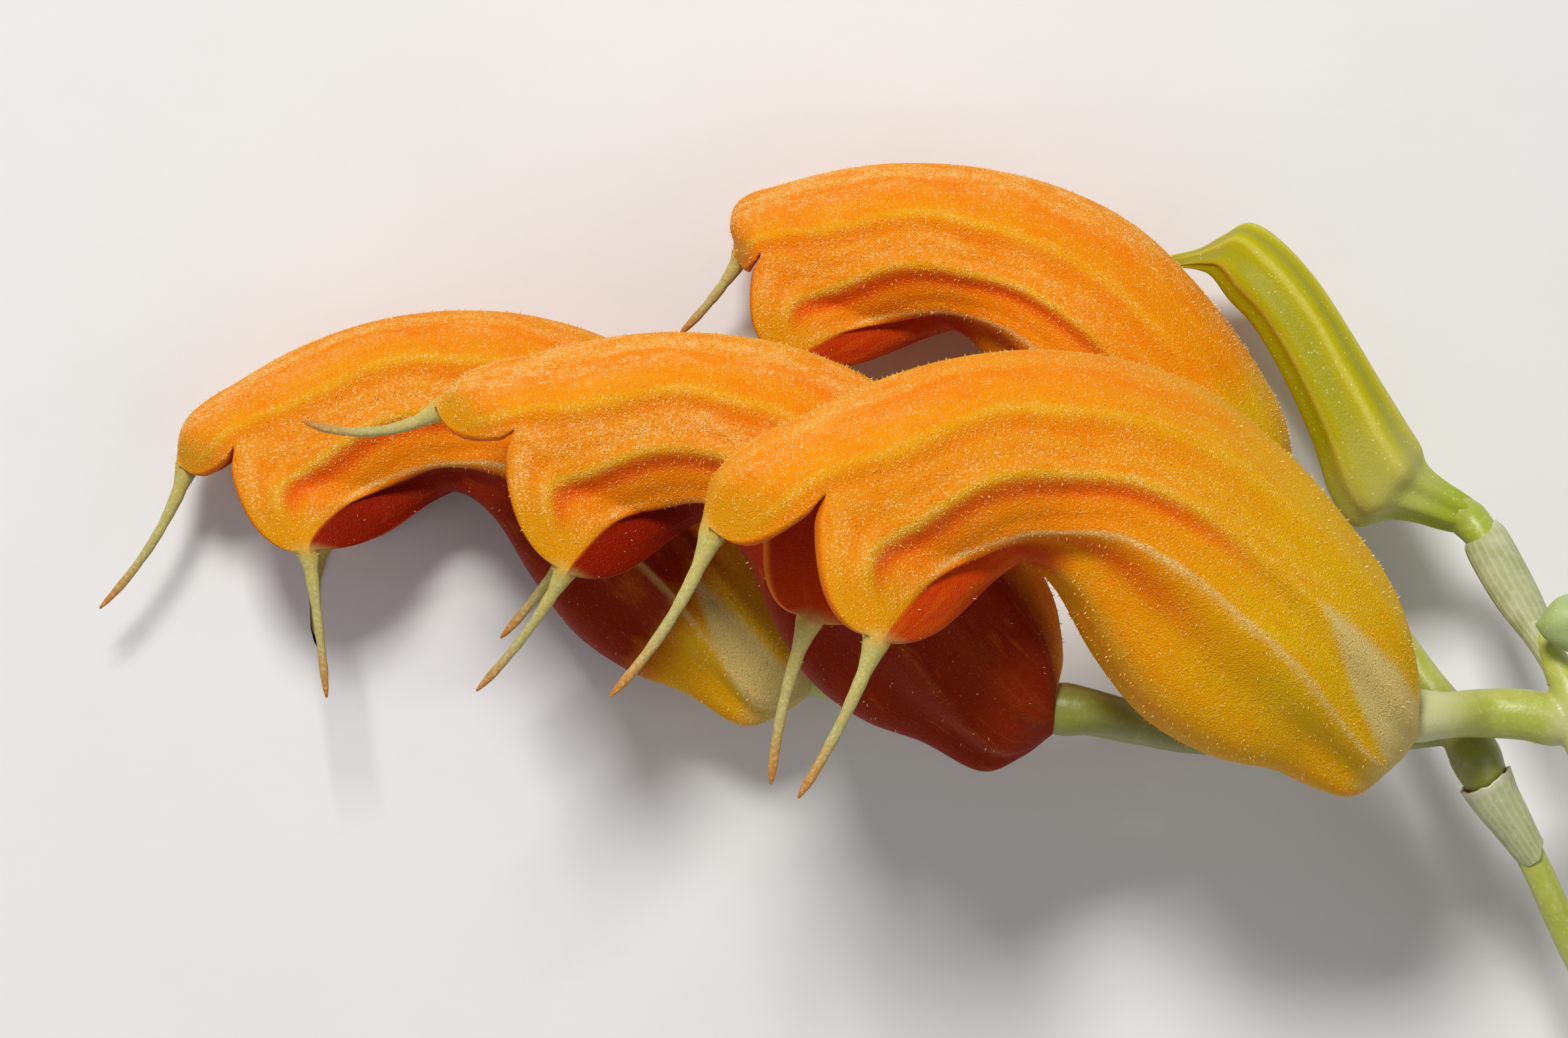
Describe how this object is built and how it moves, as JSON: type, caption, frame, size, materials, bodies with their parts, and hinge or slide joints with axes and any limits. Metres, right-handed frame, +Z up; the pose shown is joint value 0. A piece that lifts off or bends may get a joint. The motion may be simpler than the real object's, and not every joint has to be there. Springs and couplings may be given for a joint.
{
  "type": "orchid flower spray",
  "caption": "Cut spray of a small tubular orange orchid: curved hairy blooms with thin tails, a ribbed bud and green stalks with papery sheaths, lying on its side.",
  "frame": {"origin": "centre of the bounding box in X and Y, on the surface that the spray lies on", "axes": "+X towards the cut end of the stem, along the longest extent; +Y towards the backs of the blooms; +Z up off the surface, the shortest extent"},
  "size_m": [0.0558, 0.0364, 0.021],
  "materials": {
    "sepal_orange": "fleshy orange sepals with yellow veins, short glassy hairs and a soft frosty sheen",
    "bud_yellow_green": "fleshy yellow-green bud with lengthwise ribs",
    "stalk_green": "smooth green stem, paler where it swells",
    "sheath_paper": "thin papery sheath, pale with fine lengthwise stripes"
  },
  "bodies": {
    "root": {"bloom_front": "sepal_orange", "bloom_middle": "sepal_orange", "bloom_left": "sepal_orange", "bloom_upper": "sepal_orange", "bud": "bud_yellow_green", "young_bud": "bud_yellow_green", "stalk_lower": "stalk_green", "stalk_upper": "stalk_green", "sheath_funnel": "sheath_paper", "sheath_long": "sheath_paper"}
  },
  "joints": []
}
